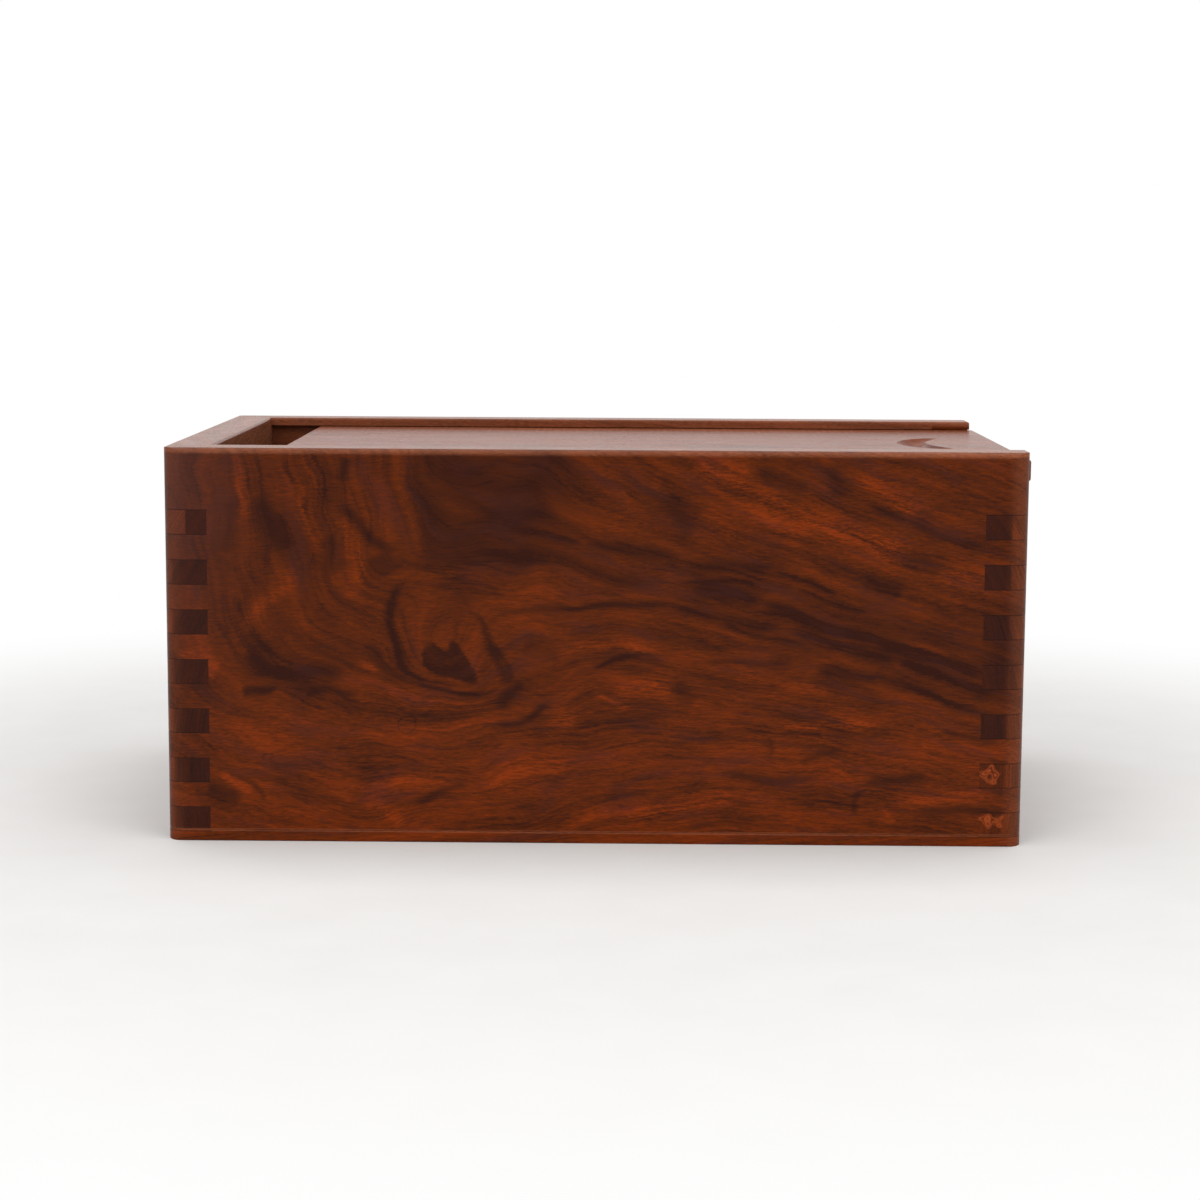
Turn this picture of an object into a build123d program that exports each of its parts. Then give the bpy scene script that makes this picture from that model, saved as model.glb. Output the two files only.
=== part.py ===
from build123d import *
import os
from math import asin, cos, degrees, sin

# Slide-top game box of solid hardwood: four boards joined by square fingers at the corners,
# a thin bottom board glued on from below, and a lid that slides out over the lowered right end.
# Millimetres. The origin is the middle of the underside. X runs along the length, towards the end
# where the lid comes out, Y from the front wall to the back wall, Z up.

# Outside of the box: round upright corners, softened long top edges and crisper end and foot edges
box_length = 245.0
box_depth = 149.0
box_height = 113.0
corner_radius = 5.0
long_edge_radius = 1.5
end_edge_radius = 0.6
foot_radius = 0.6
rim_radius = 0.8

# Boards
side_thickness = 12.5
end_thickness = 12.5
bottom_thickness = 3.5
bottom_bevel = 0.4

# Square finger joints: the ends of the end walls show as pins in the front and back walls
pin_height = 7.0
pin_gap = 7.25
plain_top = 17.6

# Grooves that carry the lid
groove_depth = 4.5
lid_below_rim = 2.8
lid_over_gap = 0.3
lid_under_gap = 0.1
lid_side_gap = 0.5
lid_end_gap = 2.0

# Lid, drawn out a little past closed, with a crescent finger nick near its leading end
lid_thickness = 6.0
lid_corner_radius = 3.0
lid_edge_radius = 0.6
lid_drawn = 16.0
nick_from_end = 17.7
nick_span = 45.0
nick_bow = 10.0
nick_width = 9.0
nick_depth = 2.8

# Planes of the box, from the sizes above
right_face = box_length / 2
left_face = -right_face
back_face = box_depth / 2
front_face = -back_face
well_left = left_face + end_thickness
well_right = right_face - end_thickness
well_back = back_face - side_thickness
well_front = -well_back
lid_top = box_height - lid_below_rim
lid_bottom = lid_top - lid_thickness
groove_ceiling = lid_top + lid_over_gap
groove_floor = lid_bottom - lid_under_gap
groove_back = well_back + groove_depth
past_the_end = right_face + corner_radius


def board(x, y, z):
    """A square-edged block between the low and high planes given for each axis."""
    size = [high - low for low, high in (x, y, z)]
    return Pos(x[0], y[0], z[0]) * Box(*size, align=(Align.MIN, Align.MIN, Align.MIN))


def softened_run(plane, width, top_radius):
    """The box's outline as seen along one axis, softened at top and foot and drawn out along it."""
    outline = Pos(0, box_height / 2) * Rectangle(width, box_height)
    outline = fillet(outline.vertices().sort_by(Axis.Y)[-2:], top_radius)
    outline = fillet(outline.vertices().sort_by(Axis.Y)[:2], foot_radius)
    return extrude(plane * outline, box_length, both=True)


def outside_form():
    """The outside of the whole box: its plan with round corners, between both softened outlines."""
    form = extrude(RectangleRounded(box_length, box_depth, corner_radius), box_height)
    form = form & softened_run(Plane.YZ, box_depth, long_edge_radius)
    return form & softened_run(Plane.XZ, box_length, end_edge_radius)


def open_top_form(form):
    """The outside form with the way that the lid slides along cut out and its rim softened."""
    block = board((left_face, right_face), (front_face, back_face), (0, box_height))
    block -= board((well_left, past_the_end), (well_front, well_back), (groove_floor, box_height))
    top_edges = block.edges().filter_by_position(Axis.Z, box_height, box_height)
    inner_rim = [
        edge
        for edge in top_edges
        if edge.center().X > left_face + 1 and abs(edge.center().Y) < well_back + 1
    ]
    return fillet(inner_rim, rim_radius) & form


def pin_levels():
    """Bottom and top of each pin, from the top pin down to the one that the bottom board cuts."""
    top = box_height - plain_top
    levels = []
    while top > bottom_thickness:
        levels.append((max(top - pin_height, bottom_thickness), top))
        top -= pin_height + pin_gap
    return levels


def side_wall(outer, inner, form):
    """A long wall between its outer and inner Y planes, socketed at both ends and grooved for the lid."""
    wall = board((left_face, right_face), (outer, inner), (bottom_thickness, box_height))
    for level in pin_levels():
        wall -= board((left_face, well_left), (outer, inner), level)
        wall -= board((well_right, right_face), (outer, inner), level)
    groove = (groove_floor, groove_ceiling)
    wall -= board((well_left, past_the_end), (-groove_back, groove_back), groove)
    return wall & form


def end_wall(x, top, form):
    """An end wall between two X planes, up to its top, with its pins through both long walls."""
    wall = board(x, (well_front, well_back), (bottom_thickness, top))
    for level in pin_levels():
        wall += board(x, (front_face, back_face), level)
    return wall & form


def bottom_board(form):
    """The thin bottom under all four walls, with a fine bevel round its glue line."""
    panel = board((left_face, right_face), (front_face, back_face), (0, bottom_thickness)) & form
    upper_face = panel.faces().sort_by(Axis.Z)[-1]
    return chamfer(upper_face.edges(), bottom_bevel)


def nick_cutter(lid_right):
    """A tilted ring. Only its low side dips into the lid, so the nick is a crescent with tapered horns."""
    ring_radius = ((nick_span / 2) ** 2 + nick_bow**2) / (2 * nick_bow)
    bead_radius = ((nick_width / 2) ** 2 + nick_depth**2) / (2 * nick_depth)
    tilt = asin(nick_depth / nick_bow)
    horns = lid_right - nick_from_end
    centre_x = horns + (ring_radius - nick_bow) * cos(tilt)
    centre_z = lid_top - nick_depth + bead_radius + ring_radius * sin(tilt)
    ring = Torus(ring_radius, bead_radius)
    return Pos(centre_x, 0, centre_z) * Rot(0, -degrees(tilt), 0) * ring


def sliding_lid():
    """The flat lid, a little shorter than the well, with its long edges in the grooves."""
    lid_length = well_right - well_left - lid_end_gap
    lid_left = well_left + lid_drawn
    lid_right = lid_left + lid_length
    lid_back = groove_back - lid_side_gap
    lid = board((lid_left, lid_right), (-lid_back, lid_back), (lid_bottom, lid_top))
    lid = fillet(lid.edges().filter_by(Axis.Z), lid_corner_radius)
    lid = fillet(lid.faces().filter_by(Axis.Z).edges(), lid_edge_radius)
    return lid - nick_cutter(lid_right)


def build():
    """Every piece of the box under its node's name."""
    outside = outside_form()
    form = open_top_form(outside)
    return {
        "front_wall": side_wall(front_face, well_front, form),
        "back_wall": side_wall(well_back, back_face, form),
        "left_end_wall": end_wall((left_face, well_left), box_height, form),
        "right_end_wall": end_wall((well_right, right_face), groove_floor, form),
        "bottom_panel": bottom_board(outside),
        "sliding_lid": sliding_lid(),
    }


os.makedirs("parts", exist_ok=True)
for name, piece in build().items():
    piece.label = name
    export_step(piece, f"parts/{name}.step")
    print(name, round(piece.volume), "mm3", piece.is_valid)
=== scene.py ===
import math
from collections import namedtuple

import bpy
from mathutils import Matrix, Vector


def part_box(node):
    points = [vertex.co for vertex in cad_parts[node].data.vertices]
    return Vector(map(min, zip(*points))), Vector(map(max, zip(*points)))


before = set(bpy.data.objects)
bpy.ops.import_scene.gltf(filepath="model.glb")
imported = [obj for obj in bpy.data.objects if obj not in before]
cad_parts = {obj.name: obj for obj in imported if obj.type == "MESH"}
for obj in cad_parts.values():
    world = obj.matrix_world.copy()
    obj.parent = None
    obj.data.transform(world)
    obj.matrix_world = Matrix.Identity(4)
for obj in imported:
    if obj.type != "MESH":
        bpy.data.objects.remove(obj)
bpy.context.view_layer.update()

# Sizes of the box, in millimetres, read from the frame or repeated from the part
MM = 1000.0
PIN_HEIGHT = 7.0
PIN_GAP = 7.25
PLAIN_TOP = 17.6
front_low, front_high = [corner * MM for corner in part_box("front_wall")]
left_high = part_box("left_end_wall")[1] * MM
HALF_LENGTH = front_high.x
HALF_DEPTH = -front_low.y
BOX_TOP = front_high.z
WALL_FOOT = front_low.z
WELL_HALF_LENGTH = -left_high.x
WELL_HALF_DEPTH = -front_high.y
PIN_PITCH = PIN_HEIGHT + PIN_GAP
TOP_PIN = BOX_TOP - PLAIN_TOP

# Colours as on a screen. The stops run from the darkest to the brightest wood
WALL_STOPS = (
    (0.00, "2d110a"),
    (0.25, "421b09"),
    (0.50, "592406"),
    (0.75, "702b07"),
    (1.00, "87330a"),
)
# The lid's stops are lighter than the walls' as painted light, for a top lit more from above than the front
LID_STOPS = (
    (0.00, "431b12"),
    (0.25, "612b18"),
    (0.50, "7a381c"),
    (0.75, "8f451f"),
    (1.00, "a25225"),
)
MAUVE_HUE = "43201b"
PORE_BROWN = "2a120d"
# The mauve of a painted sheen at the top of the front's left corner
SHEEN_MAUVE = "4f3330"
END_GRAIN_BROWN = "26120f"
CURL_ORANGE = "96421a"
CURL_EDGE = "3a150c"
CURL_HEART = "45190f"
# The tan of the painted highlights and painted sheen on the walls' top, foot, corners and well
HIGHLIGHT_TAN = "95573c"
GLUE_BROWN = "1c0d0a"
SHEEN_PINK = "ffb890"
FLOOR_GREYS = ("efedeb", "f5f4f2")


# Formulas in material nodes


class Term:
    """A number that a material works out at each point, so that formulas can be written out."""

    def __init__(self, tree, socket):
        self.tree = tree
        self.socket = socket

    def _new(self, operation, *values, clamp=False):
        node = self.tree.nodes.new("ShaderNodeMath")
        node.operation = operation
        node.use_clamp = clamp
        for slot, value in zip(node.inputs, values):
            if isinstance(value, Term):
                self.tree.links.new(value.socket, slot)
            else:
                slot.default_value = float(value)
        return Term(self.tree, node.outputs[0])

    def __add__(self, other):
        return self._new("ADD", self, other)

    def __radd__(self, other):
        return self._new("ADD", other, self)

    def __sub__(self, other):
        return self._new("SUBTRACT", self, other)

    def __rsub__(self, other):
        return self._new("SUBTRACT", other, self)

    def __mul__(self, other):
        return self._new("MULTIPLY", self, other)

    def __truediv__(self, other):
        return self._new("DIVIDE", self, other)

    def __pow__(self, other):
        return self._new("POWER", self, other)

    def __neg__(self):
        return self._new("MULTIPLY", self, -1.0)

    def sqrt(self):
        return self._new("SQRT", self)

    def exp(self):
        return self._new("EXPONENT", self)

    def abs(self):
        return self._new("ABSOLUTE", self)

    def modulo(self, other):
        return self._new("FLOORED_MODULO", self, other)

    def least(self, other):
        return self._new("MINIMUM", self, other)

    def most(self, other):
        return self._new("MAXIMUM", self, other)

    def clamped(self):
        return self._new("ADD", self, 0.0, clamp=True)

    def positive(self, softness):
        """This number where it is above nought, and otherwise nought, with a soft turn."""
        return ((self * self + softness**2).sqrt() + self) * 0.5

    def rise(self, start, end, low=0.0, high=1.0):
        """A smooth step from low to high as this number goes from start to end."""
        node = self.tree.nodes.new("ShaderNodeMapRange")
        node.interpolation_type = "SMOOTHSTEP"
        self.tree.links.new(self.socket, node.inputs["Value"])
        node.inputs["From Min"].default_value = start
        node.inputs["From Max"].default_value = end
        node.inputs["To Min"].default_value = low
        node.inputs["To Max"].default_value = high
        return Term(self.tree, node.outputs["Result"])

    def edge(self, softness):
        """1 where this number is above nought and 0 where it is below, with a narrow fade between."""
        return self.rise(-softness, softness)


class Sketch:
    """A node tree with the helpers that the wood recipes share."""

    def __init__(self, tree):
        self.tree = tree
        self.tree.nodes.clear()

    def split(self, socket):
        node = self.tree.nodes.new("ShaderNodeSeparateXYZ")
        self.tree.links.new(socket, node.inputs[0])
        return [Term(self.tree, out) for out in node.outputs]

    def join(self, x, y, z):
        node = self.tree.nodes.new("ShaderNodeCombineXYZ")
        for slot, value in zip(node.inputs, (x, y, z)):
            if isinstance(value, Term):
                self.tree.links.new(value.socket, slot)
            else:
                slot.default_value = float(value)
        return node.outputs[0]

    def noise(self, x, y, z, detail, seed=0.0):
        """Smooth noise about nought, roughly from -1 to 1. The coordinates are in its own cells."""
        seed_distance = 7.3
        node = self.tree.nodes.new("ShaderNodeTexNoise")
        node.noise_dimensions = "3D"
        self.tree.links.new(self.join(x, y, z + seed * seed_distance), node.inputs["Vector"])
        node.inputs["Scale"].default_value = 1.0
        node.inputs["Detail"].default_value = detail
        return (Term(self.tree, node.outputs[0]) - 0.5) * 2.0

    def dot(self, vector, weights):
        """The weighted sum of a vector's three parts."""
        node = self.tree.nodes.new("ShaderNodeVectorMath")
        node.operation = "DOT_PRODUCT"
        self.tree.links.new(vector, node.inputs[0])
        self.tree.links.new(weights, node.inputs[1])
        return Term(self.tree, node.outputs["Value"])

    def ramp(self, value, stops):
        """The colour at a value between 0 and 1, along softly blended stops."""
        node = self.tree.nodes.new("ShaderNodeValToRGB")
        self.tree.links.new(value.socket, node.inputs[0])
        node.color_ramp.interpolation = "B_SPLINE"
        elements = node.color_ramp.elements
        while len(elements) < len(stops):
            elements.new(0.5)
        for element, (position, colour) in zip(elements, stops):
            element.position = position
            element.color = linear(colour)
        return node.outputs[0]

    def mix(self, share, first, second):
        """The first colour where the share is 0 and the second where it is 1."""
        node = self.tree.nodes.new("ShaderNodeMix")
        node.data_type = "RGBA"
        for slot, value in (("Factor_Float", share), ("A_Color", first), ("B_Color", second)):
            target = next(s for s in node.inputs if s.identifier == slot)
            if isinstance(value, Term):
                self.tree.links.new(value.socket, target)
            elif isinstance(value, str):
                target.default_value = linear(value)
            else:
                self.tree.links.new(value, target)
        return next(s for s in node.outputs if s.identifier == "Result_Color")


class Painter(Sketch):
    """One material's node tree."""

    def __init__(self, name):
        self.material = bpy.data.materials.new(name)
        self.material.use_nodes = True
        super().__init__(self.material.node_tree)
        self.output = self.tree.nodes.new("ShaderNodeOutputMaterial")
        self.place = self.tree.nodes.new("ShaderNodeTexCoord")

    def millimetres(self):
        """The point on the piece, in millimetres of the box's own frame."""
        return [axis * MM for axis in self.split(self.place.outputs["Object"])]

    def normal(self):
        return self.split(self.place.outputs["Normal"])


def linear(code):
    """A colour written as on a screen, such as 6b3018, as the renderer's linear colour."""
    parts = [int(code[i:i + 2], 16) / 255 for i in (0, 2, 4)]
    scene = [p / 12.92 if p <= 0.04045 else ((p + 0.055) / 1.055) ** 2.4 for p in parts]
    return (*scene, 1.0)


# Wood figure: growth layers as the level lines of one smooth field

KNOT_SWELLINGS = (
    ((-41.5, 55.0), (14.0, 11.5), 12.0),
    ((-15.0, 44.0), (10.0, 8.0), 4.0),
)


def hump(x, z, centre, reach, height, lean=0.0):
    """A round or leaning oval swelling, in mm about a centre."""
    cos, sin = math.cos(math.radians(lean)), math.sin(math.radians(lean))
    dx = x - centre[0]
    dz = z - centre[1]
    if lean:
        dx, dz = dx * cos + dz * sin, dz * cos - dx * sin
    dx = dx / reach[0]
    dz = dz / reach[1]
    return (-(dx * dx + dz * dz)).exp() * height


def swellings(total, x, z, rows):
    """Humps added to a sum. A row holds a centre, a reach, a height and sometimes a lean in degrees."""
    for row in rows:
        total = total + hump(x, z, *row)
    return total


def knotted_layers(x, z, through):
    """The front board: layers run upright at the left, turn round a knot and stream down to the right."""
    crest_start, crest_height, crest_slope, crest_bend = -28.0, 89.0, 0.27, 18.0
    wide, narrow, narrowing_length = 0.95, 0.75, 55.0
    turn, turn_reach, upright_share = -50.0, 5.0, 0.15
    left_slope, left_bend, crest_softness, corner_power = 0.5, 8.0, 3.0, 2.6
    slant_through = 0.5
    right = (x - crest_start).positive(crest_bend)
    ridge = crest_height - right * crest_slope
    spread = (right * (-1 / narrowing_length)).exp() * wide + narrow
    above = (z - ridge) / spread
    lean = x.rise(turn - turn_reach, turn + turn_reach, upright_share, 1.0)
    left = (turn - x).positive(left_bend) * left_slope
    down = (-above).positive(crest_softness)
    field = above.positive(crest_softness) * lean
    field = field - (left**corner_power + down**corner_power) ** (1 / corner_power)
    return swellings(field, x, z, KNOT_SWELLINGS) + through * slant_through


def arched_layers(along, across, through, heart, depth, taper):
    """A plain-sawn board: rings round a heart line under the face make tall arches."""
    rings_per_mm = 1.5
    side = across - heart
    under = through + depth
    return ((side * side + under * under).sqrt() + along * taper) * rings_per_mm


# Marks on the front board in mm: where each starts and ends, how far it bows, half its width, strength
DARK_MARKS = (
    (-104, 101, -103, 84, 0, 2.2, 0.16),
    (-96, 100, -90, 82, 1, 3.0, 0.20),
    (-79, 90, -72, 77, -1, 3.2, 0.20),
    (-71, 112, -73, 103, 0, 2.6, 0.25),
    (-75, 98, -57, 86, -1, 1.6, 0.28),
    (-63, 85, -57, 79, 0, 3.5, 0.20),
    (-55, 77, -51, 49, -6, 1.5, 0.32),
    (-68, 59, -53, 47, -1, 2.2, 0.16),
    (-98, 57, -94, 49, 0, 2.6, 0.20),
    (-97, 50, -71, 48, 0, 2.6, 0.28),
    (-100, 44, -92, 43, 0, 1.9, 0.32),
    (-86, 42, -66, 41, 1, 1.3, 0.22),
    (-111, 14, -100, 11, 0, 2.6, 0.25),
    (-103, 20, -95, 9, 2, 0.9, 0.25),
    (-37, 65, -29, 45, 5, 1.1, 0.26),
    (-53, 50, -32, 46, -3, 1.0, 0.22),
    (-29, 59, -28, 46, 3, 1.0, 0.22),
    (-56, 53, -41, 47, -1, 0.7, 0.24),
    (-42, 46, -29, 45, -1, 0.7, 0.26),
    (-30, 38, -21, 48, 1, 2.2, 0.28),
    (-31, 34, -13, 42, -3, 1.4, 0.32),
    (-21, 58, -11, 55, 1, 2.0, 0.13),
    (-22, 90, -2, 86, -1, 1.0, 0.25),
    (-36, 84, 21, 75, 0, 1.8, 0.28),
    (-4, 86, 26, 82, 1, 1.6, 0.26),
    (24, 81, 52, 79, 0, 1.8, 0.20),
    (26, 74, 48, 71, 0, 2.2, 0.22),
    (46, 69, 82, 58, 0, 1.8, 0.36),
    (78, 58, 112, 50, 0, 1.7, 0.36),
    (-28, 67, 24, 69, 2, 1.1, 0.26),
    (20, 69, 54, 62, 0, 1.4, 0.32),
    (54, 62, 86, 52, 0, 1.6, 0.34),
    (84, 53, 116, 45, 0, 1.3, 0.30),
    (30, 54, 58, 53, 0, 1.1, 0.20),
    (62, 51, 84, 48, 0, 1.4, 0.22),
    (80, 48, 110, 40, 0, 1.3, 0.28),
    (-3, 49, 20, 55, 2, 0.8, 0.24),
    (22, 46, 29, 40, 0, 2.6, 0.15),
    (75, 77, 87, 74, 0, 2.2, 0.24),
    (76, 98, 112, 85, 0, 1.4, 0.26),
    (44, 108, 59, 101, 0, 4.0, 0.14),
    (66, 111, 68, 100, 0, 2.8, 0.20),
    (21, 102, 28, 87, 0, 3.6, 0.15),
    (97, 34, 116, 30, 0, 1.3, 0.30),
    (36, 21, 60, 20, -1, 1.2, 0.22),
    (58, 24, 71, 27, 0, 0.9, 0.20),
    (77, 18, 96, 20, 1, 2.0, 0.22),
    (90, 11, 119, 10, 0, 1.4, 0.20),
    (-53, 9, -36, 17, 1, 1.3, 0.24),
    (49, 32, 51, 26, 0, 0.9, 0.20),
    (75, 9, 77, 17, 1, 1.0, 0.22),
    (56, 74, 78, 68, 0, 0.8, 0.26),
    (70, 62, 98, 55, 0, 0.7, 0.26),
    (34, 65, 60, 57, 0, 0.8, 0.24),
    (22, 76, 46, 75, 0, 0.7, 0.26),
    (50, 78, 70, 73, 0, 0.8, 0.24),
    (88, 46, 114, 38, 0, 0.7, 0.26),
)
BRIGHT_MARKS = (
    (-101, 112, -98, 92, -1, 1.6, 0.20),
    (-90, 107, -81, 80, 2, 3.0, 0.22),
    (-78, 99, -67, 66, 4, 3.0, 0.20),
    (-89, 80, -100, 60, 3, 2.8, 0.27),
    (-115, 57, -105, 51, 0, 3.0, 0.36),
    (-68, 54, -61, 50, 0, 1.5, 0.20),
    (-60, 44, -43, 41, 0, 2.0, 0.18),
    (-20, 80, 3, 76, 0, 1.6, 0.18),
    (-13, 57, 22, 56, 1, 1.5, 0.28),
    (3, 44, 24, 44, 1, 2.2, 0.34),
    (-3, 43, 12, 38, 0, 0.8, 0.24),
    (-65, 14, -53, 4, 1, 1.6, 0.22),
    (-34, 17, -2, 24, 0, 2.4, 0.20),
    (83, 13, 86, 6, 0, 1.0, 0.20),
    (27, 110, 44, 105, 0, 3.5, 0.30),
    (40, 105, 60, 88, 0, 4.2, 0.32),
    (29, 95, 39, 88, 0, 3.0, 0.22),
    (54, 93, 90, 83, 1, 4.2, 0.32),
    (73, 109, 93, 94, 0, 3.4, 0.32),
    (94, 80, 122, 75, 0, 3.0, 0.25),
    (40, 49, 68, 45, 0, 1.5, 0.16),
    (45, 33, 86, 36, 0, 1.3, 0.26),
    (-66, 15, -37, 19, 0, 2.6, 0.26),
    (-6, 8, 42, 14, 0, 2.2, 0.22),
    (84, 13, 114, 15, 0, 1.9, 0.26),
    (66, 20, 92, 21, 0, 2.0, 0.14),
    (-105, 19, -98, 11, 1, 1.4, 0.34),
    (-14, 37, -5, 36, 0, 3.0, 0.16),
)


def stroke_group():
    """One bowed stroke with soft edges, added to a running sum. Every mark on the board repeats it."""
    full_strength_arch = 0.7
    group = bpy.data.node_groups.new("stroke", "ShaderNodeTree")
    sketch = Sketch(group)
    for name in ("Place", "Lengthwise", "Sideways"):
        group.interface.new_socket(name, in_out="INPUT", socket_type="NodeSocketVector")
    for name in ("Bow", "Strength", "Before"):
        group.interface.new_socket(name, in_out="INPUT", socket_type="NodeSocketFloat")
    group.interface.new_socket("Sum", in_out="OUTPUT", socket_type="NodeSocketFloat")
    given = group.nodes.new("NodeGroupInput").outputs
    bow, strength, before = (Term(group, given[n]) for n in ("Bow", "Strength", "Before"))
    share = sketch.dot(given["Place"], given["Lengthwise"])
    arch = (1 - share) * share * 4
    aside = sketch.dot(given["Place"], given["Sideways"]) - arch * bow
    total = (-(aside * aside)).exp() * arch.rise(0.0, full_strength_arch) * strength + before
    result = group.nodes.new("NodeGroupOutput")
    group.links.new(total.socket, result.inputs["Sum"])
    return group


def marks(paint, x, z, rows, scale):
    """All the strokes of a table, added up and scaled."""
    group = bpy.data.node_groups.get("stroke") or stroke_group()
    place = paint.join(x, z, 1.0)
    total = None
    for x0, z0, x1, z1, bow, reach, strength in rows:
        length = math.hypot(x1 - x0, z1 - z0)
        ahead = ((x1 - x0) / length, (z1 - z0) / length)
        start = -(x0 * ahead[0] + z0 * ahead[1])
        side = x0 * ahead[1] - z0 * ahead[0]
        node = paint.tree.nodes.new("ShaderNodeGroup")
        node.node_tree = group
        paint.tree.links.new(place, node.inputs["Place"])
        node.inputs["Lengthwise"].default_value = [v / length for v in (*ahead, start)]
        node.inputs["Sideways"].default_value = [v / reach for v in (-ahead[1], ahead[0], side)]
        node.inputs["Bow"].default_value = bow / reach
        node.inputs["Strength"].default_value = strength * scale
        if total:
            paint.tree.links.new(total.socket, node.inputs["Before"])
        total = Term(paint.tree, node.outputs["Sum"])
    return total


# Wider dark places on the front board in mm: centre, reach, strength and lean
DUSKY_PLACES = (
    ((-22.0, 95.0), (10.0, 8.0), -0.14),
    ((75.0, 62.0), (46.0, 11.0), -0.14, -16.0),
    ((118.0, 56.0), (9.0, 12.0), -0.3),
    ((-100.0, 80.0), (36.0, 34.0), -0.08),
)
# Thin dark circles in mm: centre and radius
THIN_RINGS = (((-51.3, 34.8), 2.8), ((-93.1, 25.5), 1.1))
# Lobes of the knot's dark heart, like the wider dark places; the last one is a notch cut out of it
KNOT_LOBES = (
    ((-45.3, 55.0), (4.2, 5.4), 1.0, 25.0),
    ((-38.0, 54.3), (3.6, 6.6), 1.0, 32.0),
    ((-41.0, 51.2), (5.4, 2.6), 0.8, -22.0),
    ((-41.8, 59.0), (1.3, 3.6), -0.9, 20.0),
)


def dark_field(x, z):
    """1 over the dark field above the knot: a sharp left side, a soft right side and a slanted foot."""
    foot_slope = 0.12
    left_side = x.rise(-53, -49)
    right_side = x.rise(-14, 6, 1.0, 0.0)
    foot = (z + x * foot_slope).rise(72, 82)
    return left_side * right_side * foot


def thin_rings(total, x, z):
    """The thin dark circles, added to a sum."""
    line_core, line_edge, strength = 0.08, 0.4, -0.2
    for (centre_x, centre_z), radius in THIN_RINGS:
        dx = x - centre_x
        dz = z - centre_z
        out = (dx * dx + dz * dz).sqrt()
        total = total + (out - radius).abs().rise(line_core, line_edge, strength, 0.0)
    return total


def front_tones(paint, x, z):
    """Where the front board is darker or more orange."""
    field_strength, bright_scale, dark_scale = -0.24, 0.9, -1.25
    foot_lift, middle_fall, knot_strength = 0.04, -0.04, -0.5
    dusk = swellings(dark_field(x, z) * field_strength, x, z, DUSKY_PLACES)
    dusk = dusk + z.rise(30.0, 50.0, foot_lift, middle_fall)
    dusk = thin_rings(dusk, x, z)
    knot = swellings(0.0, x, z, KNOT_LOBES).rise(0.5, 0.9, 0.0, knot_strength)
    light_marks = marks(paint, x, z, BRIGHT_MARKS, bright_scale)
    return dusk + knot + light_marks + marks(paint, x, z, DARK_MARKS, dark_scale)


# Places on the box where the wood looks different, and where highlights and sheen are painted on


def on_the_front(y):
    """1 near the front face, fading to 0 behind it."""
    return y.rise(4.5 - HALF_DEPTH, 14.5 - HALF_DEPTH, 1.0, 0.0)


def seams(x, y, z):
    """1 along the thin glue lines of the finger joints, elsewhere 0."""
    width, softness = 0.22, 0.05
    below = (TOP_PIN - z).modulo(PIN_PITCH)
    level = below.least(PIN_PITCH - below).least((below - PIN_HEIGHT).abs())
    in_height = (TOP_PIN + width - z).edge(softness)
    in_corner = (x.abs() - WELL_HALF_LENGTH + width).edge(softness)
    in_corner = in_corner * (y.abs() - WELL_HALF_DEPTH + width).edge(softness)
    line = level.rise(width * 0.3, width, 1.0, 0.0)
    return line * in_height * in_corner


def painted_highlights(x, y, z):
    """How much paler a wall is painted for light: painted highlights along its top and foot, painted sheen
    on the round corners and painted light in the well.
    """
    rim_start, rim_band, rim_share, right_rim_gain = BOX_TOP - 2.1, 1.3, 0.5, 1.4
    corner_start, corner_band, left_corner_share, right_corner_share = 7.0, 5.5, 0.1, 0.22
    foot_line, foot_band, foot_softness, foot_share = WALL_FOOT - 0.2, 0.5, 0.25, 0.4
    well_share, groove_reach, well_margin, softness = 0.5, 5.0, 0.1, 0.05
    rim = (z - rim_start).rise(0.0, rim_band, 0.0, rim_share) * x.rise(40.0, 120.0, 1.0, right_rim_gain)
    end = (x.abs() - (HALF_LENGTH - corner_start)).rise(0.0, corner_band)
    side = (y.abs() - (HALF_DEPTH - corner_start)).rise(0.0, corner_band)
    pale = rim.most(end.least(side) * x.rise(-1.0, 1.0, left_corner_share, right_corner_share))
    foot = (foot_band - (z - foot_line).abs()).rise(0.0, foot_softness, 0.0, foot_share)
    lengthwise = (WELL_HALF_LENGTH + well_margin - x.abs()).edge(softness)
    crosswise = (WELL_HALF_DEPTH + groove_reach - y.abs()).edge(softness)
    return pale.most(foot).most(lengthwise * crosswise * well_share)


def left_pins(x, z):
    """1 where a left pin's end is dark: up to the corner, and the top pin's on its inner half only."""
    corner, middle_of_pin, under_top_pin = HALF_LENGTH - 2.0, HALF_LENGTH - 6.5, TOP_PIN - PIN_HEIGHT - 0.4
    inner_half = (x + middle_of_pin).edge(0.3)
    return (corner - x.abs()).edge(0.4) * inner_half.most((under_top_pin - z).edge(0.5))


def right_pins(x, z):
    """Dark up to the corner, and round it below the second pin; the two lowest are as red as the wall."""
    corner, under_second_pin = HALF_LENGTH - 5.0, TOP_PIN - 2 * PIN_PITCH + 3.1
    round_share, lowest_share = 0.6, 0.12
    reach = (corner - x).edge(0.4).most((under_second_pin - z).rise(-0.5, 0.5, 0.0, round_share))
    return reach * z.rise(27.0, 29.0, lowest_share, 1.0)


def painted_sheen(x, y, z):
    """A painted mauve sheen at the top of the front's left corner, standing in for a side light's haze on
    the wax.
    """
    centre, reach, share = (-HALF_LENGTH - 4.5, BOX_TOP), (20.0, 52.0), 0.5
    return hump(x, z, centre, reach, share) * on_the_front(y)


# Small curled knots in the two lowest right pins, in mm: centre and reach
PIN_CURLS = (((112.5, 20.8), (2.6, 2.2)), ((113.2, 7.2), (2.6, 2.0)))


# Rosewood

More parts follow.
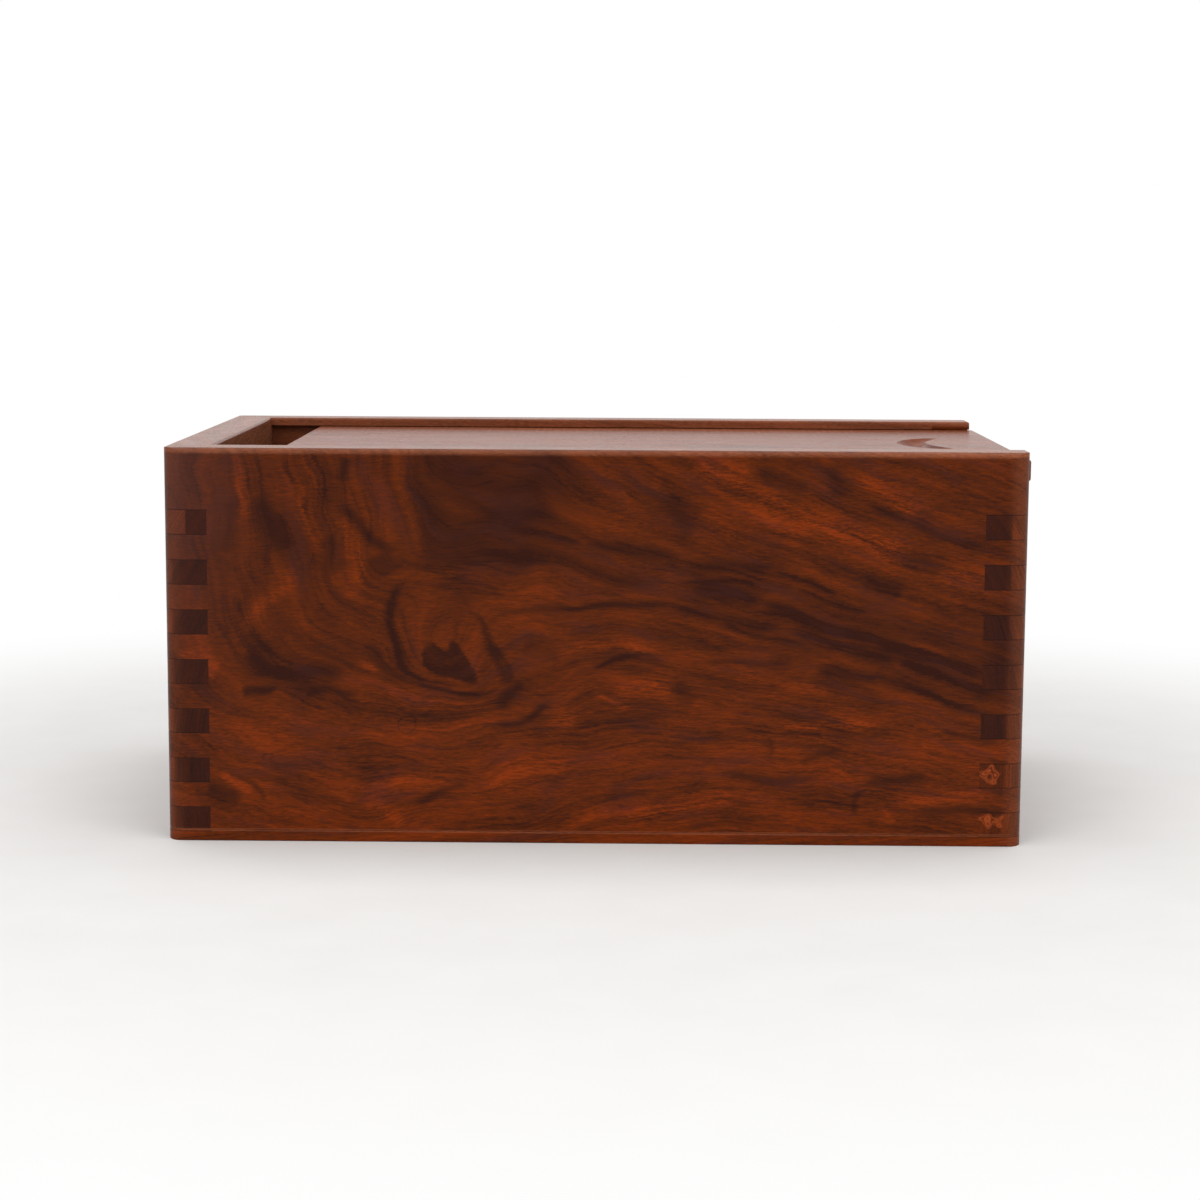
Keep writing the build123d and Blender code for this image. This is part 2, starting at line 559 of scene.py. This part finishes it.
# Noise in the wood: its cells' length, width and depth in mm, its finer layers, its seed and its weight
Grain = namedtuple("Grain", "cell detail seed weight", defaults=(1.0,))
SWAY = Grain((22.0, 20.0, 20.0), 1.0, 1)
DRIFT = Grain((24.0, 20.0, 20.0), 1.0, 2)
COMB = Grain((2.4, 0.5, 0.5), 1.0, 3)
BROAD = Grain((26.0, 5.5, 30.0), 2.0, 5, 0.38)
BAND = Grain((15.0, 1.9, 20.0), 2.0, 6, 0.2)
VEIN = Grain((34.0, 1.5, 34.0), 1.0, 7, 0.2)
LINE = Grain((28.0, 0.7, 28.0), 1.0, 12, 0.2)
FLECK = Grain((4.5, 0.55, 0.55), 2.0, 8, 0.27)
FIBRE = Grain((1.6, 0.24, 0.24), 1.0, 9, 0.22)
PORE = Grain((2.2, 0.2, 0.2), 0.0, 10, 0.4)
HUE = Grain((18.0, 4.0, 18.0), 2.0, 11, 0.4)
GLOSS = Grain((14.0, 6.0, 6.0), 2.0, 10, 0.05)


class Rosewood(Painter):
    """Waxed rosewood. axes says which of X, Y, Z runs along the grain, across the face and through it."""

    def __init__(self, name, axes, seed):
        super().__init__(name)
        self.seed = seed
        self.point = self.millimetres()
        self.board = [self.point[i] for i in axes]
        self.end_grain = self.normal()[axes[0]].abs().rise(0.75, 0.95)

    def grain(self, kind, place):
        """One kind of noise at a place given along, across and through its cells."""
        cells = [value / size for value, size in zip(place, kind.cell)]
        return self.noise(*cells, kind.detail, self.seed + kind.seed)

    def grow(self, layers, curly):
        """The layers wander, and single fibres drag their edges out along the grain."""
        along, across, through = self.board
        calm, lively, comb_along, comb_across, strand_share = 2.6, 6.0, 1.1, 0.4, 0.6
        plain_stretch, pore_start, full_pore, closed_by_end_grain = 2.6, 0.3, 0.5, 0.4
        sway = self.grain(SWAY, self.board)
        drift = self.grain(DRIFT, self.board)
        comb = self.grain(COMB, self.board)
        wander = along.rise(-30, 25, lively, calm) if curly else calm
        stretch = 1.0 if curly else plain_stretch
        self.bent = along + sway * wander + comb * comb_along
        self.level = across + drift * wander + comb * comb_across
        strands = (along, across + drift * wander * strand_share, through)
        grown = (self.bent / stretch, layers(self.bent, self.level, through), self.level)
        self.broad = self.grain(BROAD, grown)
        self.band = self.grain(BAND, grown)
        self.vein = self.grain(VEIN, grown)
        self.line = self.grain(LINE, grown)
        self.hue = self.grain(HUE, grown)
        self.fleck = self.grain(FLECK, strands)
        self.fibre = self.grain(FIBRE, strands)
        self.pores = self.grain(PORE, strands).rise(pore_start, full_pore)
        self.pores = self.pores * (1 - self.end_grain * closed_by_end_grain)

    def figure(self, tones, darkness):
        """How bright the wood is, from 0 to 1."""
        middle, fibre_share, fleck_share, left_line, right_line = 0.5, 0.9, 0.6, 0.7, 1.3
        vein_width, darker_broad, lighter_broad, least_vein = 0.09, -0.3, 0.3, 0.2
        value = self.broad * BROAD.weight + self.band * BAND.weight + self.line * LINE.weight
        value = value + self.fleck * FLECK.weight + self.fibre * FIBRE.weight + (middle - darkness)
        if tones:
            streaks = self.line * self.board[0].rise(-30, 20, left_line, right_line)
            texture = 1 + self.fibre * fibre_share + streaks + self.fleck * fleck_share
            value = value + tones(self, self.bent, self.level) * texture
        vein = self.vein.abs().rise(0.0, vein_width, 1.0, 0.0)
        vein = vein * self.broad.rise(darker_broad, lighter_broad, 1.0, least_vein)
        return (value - vein * VEIN.weight).clamped()

    def curled(self, colour, centre, reach):
        """A small knot of orange curls with dark edges, on the front only."""
        x, y, z = self.point
        cell, swirl, apart, edge_level = 3.2, 3.2, 9.0, 0.55
        curl = self.noise(x / cell, z / cell, 0.0, 0.0, self.seed + 13)
        twist = self.noise(x / cell, z / cell, apart, 0.0, self.seed + 14)
        spot = hump(x + curl * swirl, z + twist * swirl, centre, reach, 1.0) * on_the_front(y)
        colour = self.mix(spot.rise(0.2, 0.5, 0.0, 0.85), colour, CURL_ORANGE)
        colour = self.mix((spot - edge_level).abs().rise(0.03, 0.12, 0.75, 0.0), colour, CURL_EDGE)
        return self.mix(spot.rise(0.85, 0.95, 0.0, 0.6), colour, CURL_HEART)

    def coloured(self, value, stops, pins, curls):
        """The wood's colour, with its pores, dark end grain, curls and glue lines, and with WALL_STOPS a
        painted sheen and painted highlights.
        """
        x, _, z = self.point
        end_grain_share, glue_share, plain_ends, full_hue = 0.72, 0.6, 0.6, 0.45
        broad_share, line_share, fibre_share = 0.4, 0.5, 0.8
        colour = self.mix(self.hue.rise(0.0, full_hue) * HUE.weight, self.ramp(value, stops), MAUVE_HUE)
        colour = self.mix(self.pores * PORE.weight, colour, PORE_BROWN)
        walls_painted_lit = stops is WALL_STOPS
        # A painted mauve sheen at the top left of the front
        if walls_painted_lit:
            colour = self.mix(painted_sheen(*self.point), colour, SHEEN_MAUVE)
        dark_ends = self.end_grain * (pins(x, z) if pins else plain_ends)
        colour = self.mix(dark_ends * end_grain_share, colour, END_GRAIN_BROWN)
        for centre, reach in curls:
            colour = self.curled(colour, centre, reach)
        # Painted highlights along the top and foot, painted sheen on the round corners and painted light in
        # the well
        if walls_painted_lit:
            texture = 1 + self.broad * broad_share + self.line * line_share + self.fibre * fibre_share
            pale = (painted_highlights(*self.point) * texture).clamped()
            colour = self.mix(pale, colour, HIGHLIGHT_TAN)
        self.glue = seams(*self.point)
        return self.mix(self.glue * glue_share, colour, GLUE_BROWN)

    def waxed(self, colour):
        """The finished material: a thin satin wax with a warm sheen over open pores."""
        satin, pore_roughness, end_roughness = 0.25, 0.12, 0.05
        fibre_height, pore_depth, glue_depth, wave_height = 0.012, 0.03, 0.06, 0.02
        gloss = self.grain(GLOSS, self.board)
        rough = gloss * GLOSS.weight + self.pores * pore_roughness
        rough = rough + self.end_grain * end_roughness + satin
        height = self.fibre * fibre_height - self.pores * pore_depth
        height = height - self.glue * glue_depth + gloss * wave_height
        bump = self.tree.nodes.new("ShaderNodeBump")
        bump.inputs["Strength"].default_value = 0.6
        bump.inputs["Distance"].default_value = 1 / MM
        self.tree.links.new(height.socket, bump.inputs["Height"])
        shader = self.tree.nodes.new("ShaderNodeBsdfPrincipled")
        shader.inputs["Specular IOR Level"].default_value = 0.07
        shader.inputs["Sheen Weight"].default_value = 0.12
        shader.inputs["Sheen Roughness"].default_value = 0.25
        shader.inputs["Sheen Tint"].default_value = linear(SHEEN_PINK)
        self.tree.links.new(colour, shader.inputs["Base Color"])
        self.tree.links.new(rough.socket, shader.inputs["Roughness"])
        self.tree.links.new(bump.outputs[0], shader.inputs["Normal"])
        self.tree.links.new(shader.outputs[0], self.output.inputs[0])
        return self.material


def rosewood(
    name, axes, seed, layers, tones=None, stops=WALL_STOPS, pins=None, curls=(), darkness=0.0
):
    """One board's material, from its growth layers and what its place in the box adds."""
    wood = Rosewood(name, axes, seed)
    wood.grow(layers, curly=bool(tones))
    return wood.waxed(wood.coloured(wood.figure(tones, darkness), stops, pins, curls))


def finish_node(node, material):
    """Gives a carried-over node its detailed material in place of the plain one."""
    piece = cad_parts[node]
    piece.data.materials.clear()
    piece.data.materials.append(material)


def boards():
    """One material for each board, because each is cut from another place in the log."""
    x, y, z = 0, 1, 2
    lid_level = 112.0

    def front(along, across, through):
        return knotted_layers(along, across, through + HALF_DEPTH)

    def back(along, across, through):
        return arched_layers(along, across, through, 40.0, 14.0, 0.10)

    def end(along, across, through):
        return arched_layers(along, across, through, 20.0, 12.0, -0.10)

    def lid(along, across, through):
        return arched_layers(along, across, through - lid_level, -22.0, 14.0, 0.09)

    front_wood = rosewood("front_rosewood", (x, z, y), 0.0, front, front_tones)
    back_wood = rosewood("back_rosewood", (x, z, y), 20.0, back)
    left_wood = rosewood("left_rosewood", (y, z, x), 40.0, end, pins=left_pins, darkness=0.05)
    right_wood = rosewood(
        "right_rosewood", (y, z, x), 60.0, end, pins=right_pins, curls=PIN_CURLS, darkness=0.05
    )
    finish_node("front_wall", front_wood)
    finish_node("back_wall", back_wood)
    finish_node("left_end_wall", left_wood)
    finish_node("right_end_wall", right_wood)
    finish_node("bottom_panel", rosewood("bottom_rosewood", (x, y, z), 80.0, lid, darkness=-0.15))
    finish_node("sliding_lid", rosewood("lid_rosewood", (x, y, z), 100.0, lid, stops=LID_STOPS))


# Floor, light and camera, in metres

FLOOR_REACH = 6.0
FLOOR_FADE = (0.2, 0.42)
LAMPS = (
    ("key_light", (-0.8, -1.4, 0.7), (1.2, 1.0), 8.9),
    ("fill_light", (1.0, -1.3, 0.6), (1.2, 1.0), 7.2),
    ("top_light", (0.0, 0.1, 1.5), (1.4, 1.0), 9.5),
)
LAMP_TARGET = Vector((0, 0, 0.06))
WHITE = (1, 1, 1, 1)


def pale_floor():
    """Off-white paper that turns to plain white further out, for the camera only."""
    paint = Painter("pale_floor")
    x, y, _ = paint.split(paint.place.outputs["Object"])
    cells_per_metre = 40
    distance = (x * x + y * y).sqrt()
    mottle = paint.noise(x * cells_per_metre, y * cells_per_metre, 0.0, 3.0)
    base = paint.mix((mottle * 0.5 + 0.5).clamped(), *FLOOR_GREYS)
    diffuse = paint.tree.nodes.new("ShaderNodeBsdfDiffuse")
    paint.tree.links.new(base, diffuse.inputs["Color"])
    white = paint.tree.nodes.new("ShaderNodeEmission")
    white.inputs["Color"].default_value = WHITE
    rays = paint.tree.nodes.new("ShaderNodeLightPath")
    seen = Term(paint.tree, rays.outputs["Is Camera Ray"])
    share = distance.rise(*FLOOR_FADE) * seen
    blend = paint.tree.nodes.new("ShaderNodeMixShader")
    paint.tree.links.new(share.socket, blend.inputs[0])
    paint.tree.links.new(diffuse.outputs[0], blend.inputs[1])
    paint.tree.links.new(white.outputs[0], blend.inputs[2])
    paint.tree.links.new(blend.outputs[0], paint.output.inputs[0])
    return paint.material


def floor():
    """A pale floor that keeps the box's shadow."""
    mesh = bpy.data.meshes.new("floor")
    reach = FLOOR_REACH
    corners = [(-reach, -reach, 0), (reach, -reach, 0), (reach, reach, 0), (-reach, reach, 0)]
    mesh.from_pydata(corners, [], [(0, 1, 2, 3)])
    mesh.materials.append(pale_floor())
    plane = bpy.data.objects.new("floor", mesh)
    bpy.context.scene.collection.objects.link(plane)


def lamp(name, place, size, power):
    """A soft box that faces the box, with its power in watts."""
    data = bpy.data.lights.new(name, "AREA")
    data.shape = "RECTANGLE"
    data.size, data.size_y = size
    data.energy = power
    light = bpy.data.objects.new(name, data)
    light.location = place
    aim = LAMP_TARGET - Vector(place)
    light.rotation_euler = aim.to_track_quat("-Z", "Y").to_euler()
    bpy.context.scene.collection.objects.link(light)


def surroundings():
    """White all round for the camera. In reflections the side behind the camera is dark."""
    dark_side, soft_light = 0.03, 0.5
    world = bpy.data.worlds.new("studio")
    world.use_nodes = True
    bpy.context.scene.world = world
    tree = world.node_tree
    tree.nodes.clear()
    place = tree.nodes.new("ShaderNodeTexCoord")
    split = tree.nodes.new("ShaderNodeSeparateXYZ")
    tree.links.new(place.outputs["Generated"], split.inputs[0])
    reflected = Term(tree, split.outputs[1]).rise(-0.9, -0.2, dark_side, 1.0)
    rays = tree.nodes.new("ShaderNodeLightPath")
    seen = Term(tree, rays.outputs["Is Camera Ray"])
    glossy = Term(tree, rays.outputs["Is Glossy Ray"])
    strength = seen + (1 - seen) * (glossy * reflected + (1 - glossy) * soft_light)
    shade = tree.nodes.new("ShaderNodeBackground")
    shade.inputs["Color"].default_value = WHITE
    tree.links.new(strength.socket, shade.inputs["Strength"])
    output = tree.nodes.new("ShaderNodeOutputWorld")
    tree.links.new(shade.outputs[0], output.inputs[0])


def camera():
    """The photograph's own viewpoint, worked out from the box's edges in it."""
    picture_side = 1200.0
    focal_pixels = 2599.5
    place = Vector((8.79, -804.4, 167.4)) / MM
    yaw, pitch, roll = (math.radians(angle) for angle in (0.582, 7.559, 0.332))
    data = bpy.data.cameras.new("camera")
    data.sensor_width = 36.0
    data.lens = data.sensor_width * focal_pixels / picture_side
    data.clip_start = 0.01
    data.clip_end = 50.0
    eye = bpy.data.objects.new("camera", data)
    turn = Matrix.Rotation(yaw, 4, "Z") @ Matrix.Rotation(math.pi / 2 - pitch, 4, "X")
    eye.matrix_world = Matrix.Translation(place) @ turn @ Matrix.Rotation(roll, 4, "Z")
    bpy.context.scene.collection.objects.link(eye)
    bpy.context.scene.camera = eye


boards()
floor()
for light_row in LAMPS:
    lamp(*light_row)
surroundings()
camera()
bpy.context.scene.view_settings.view_transform = "Standard"
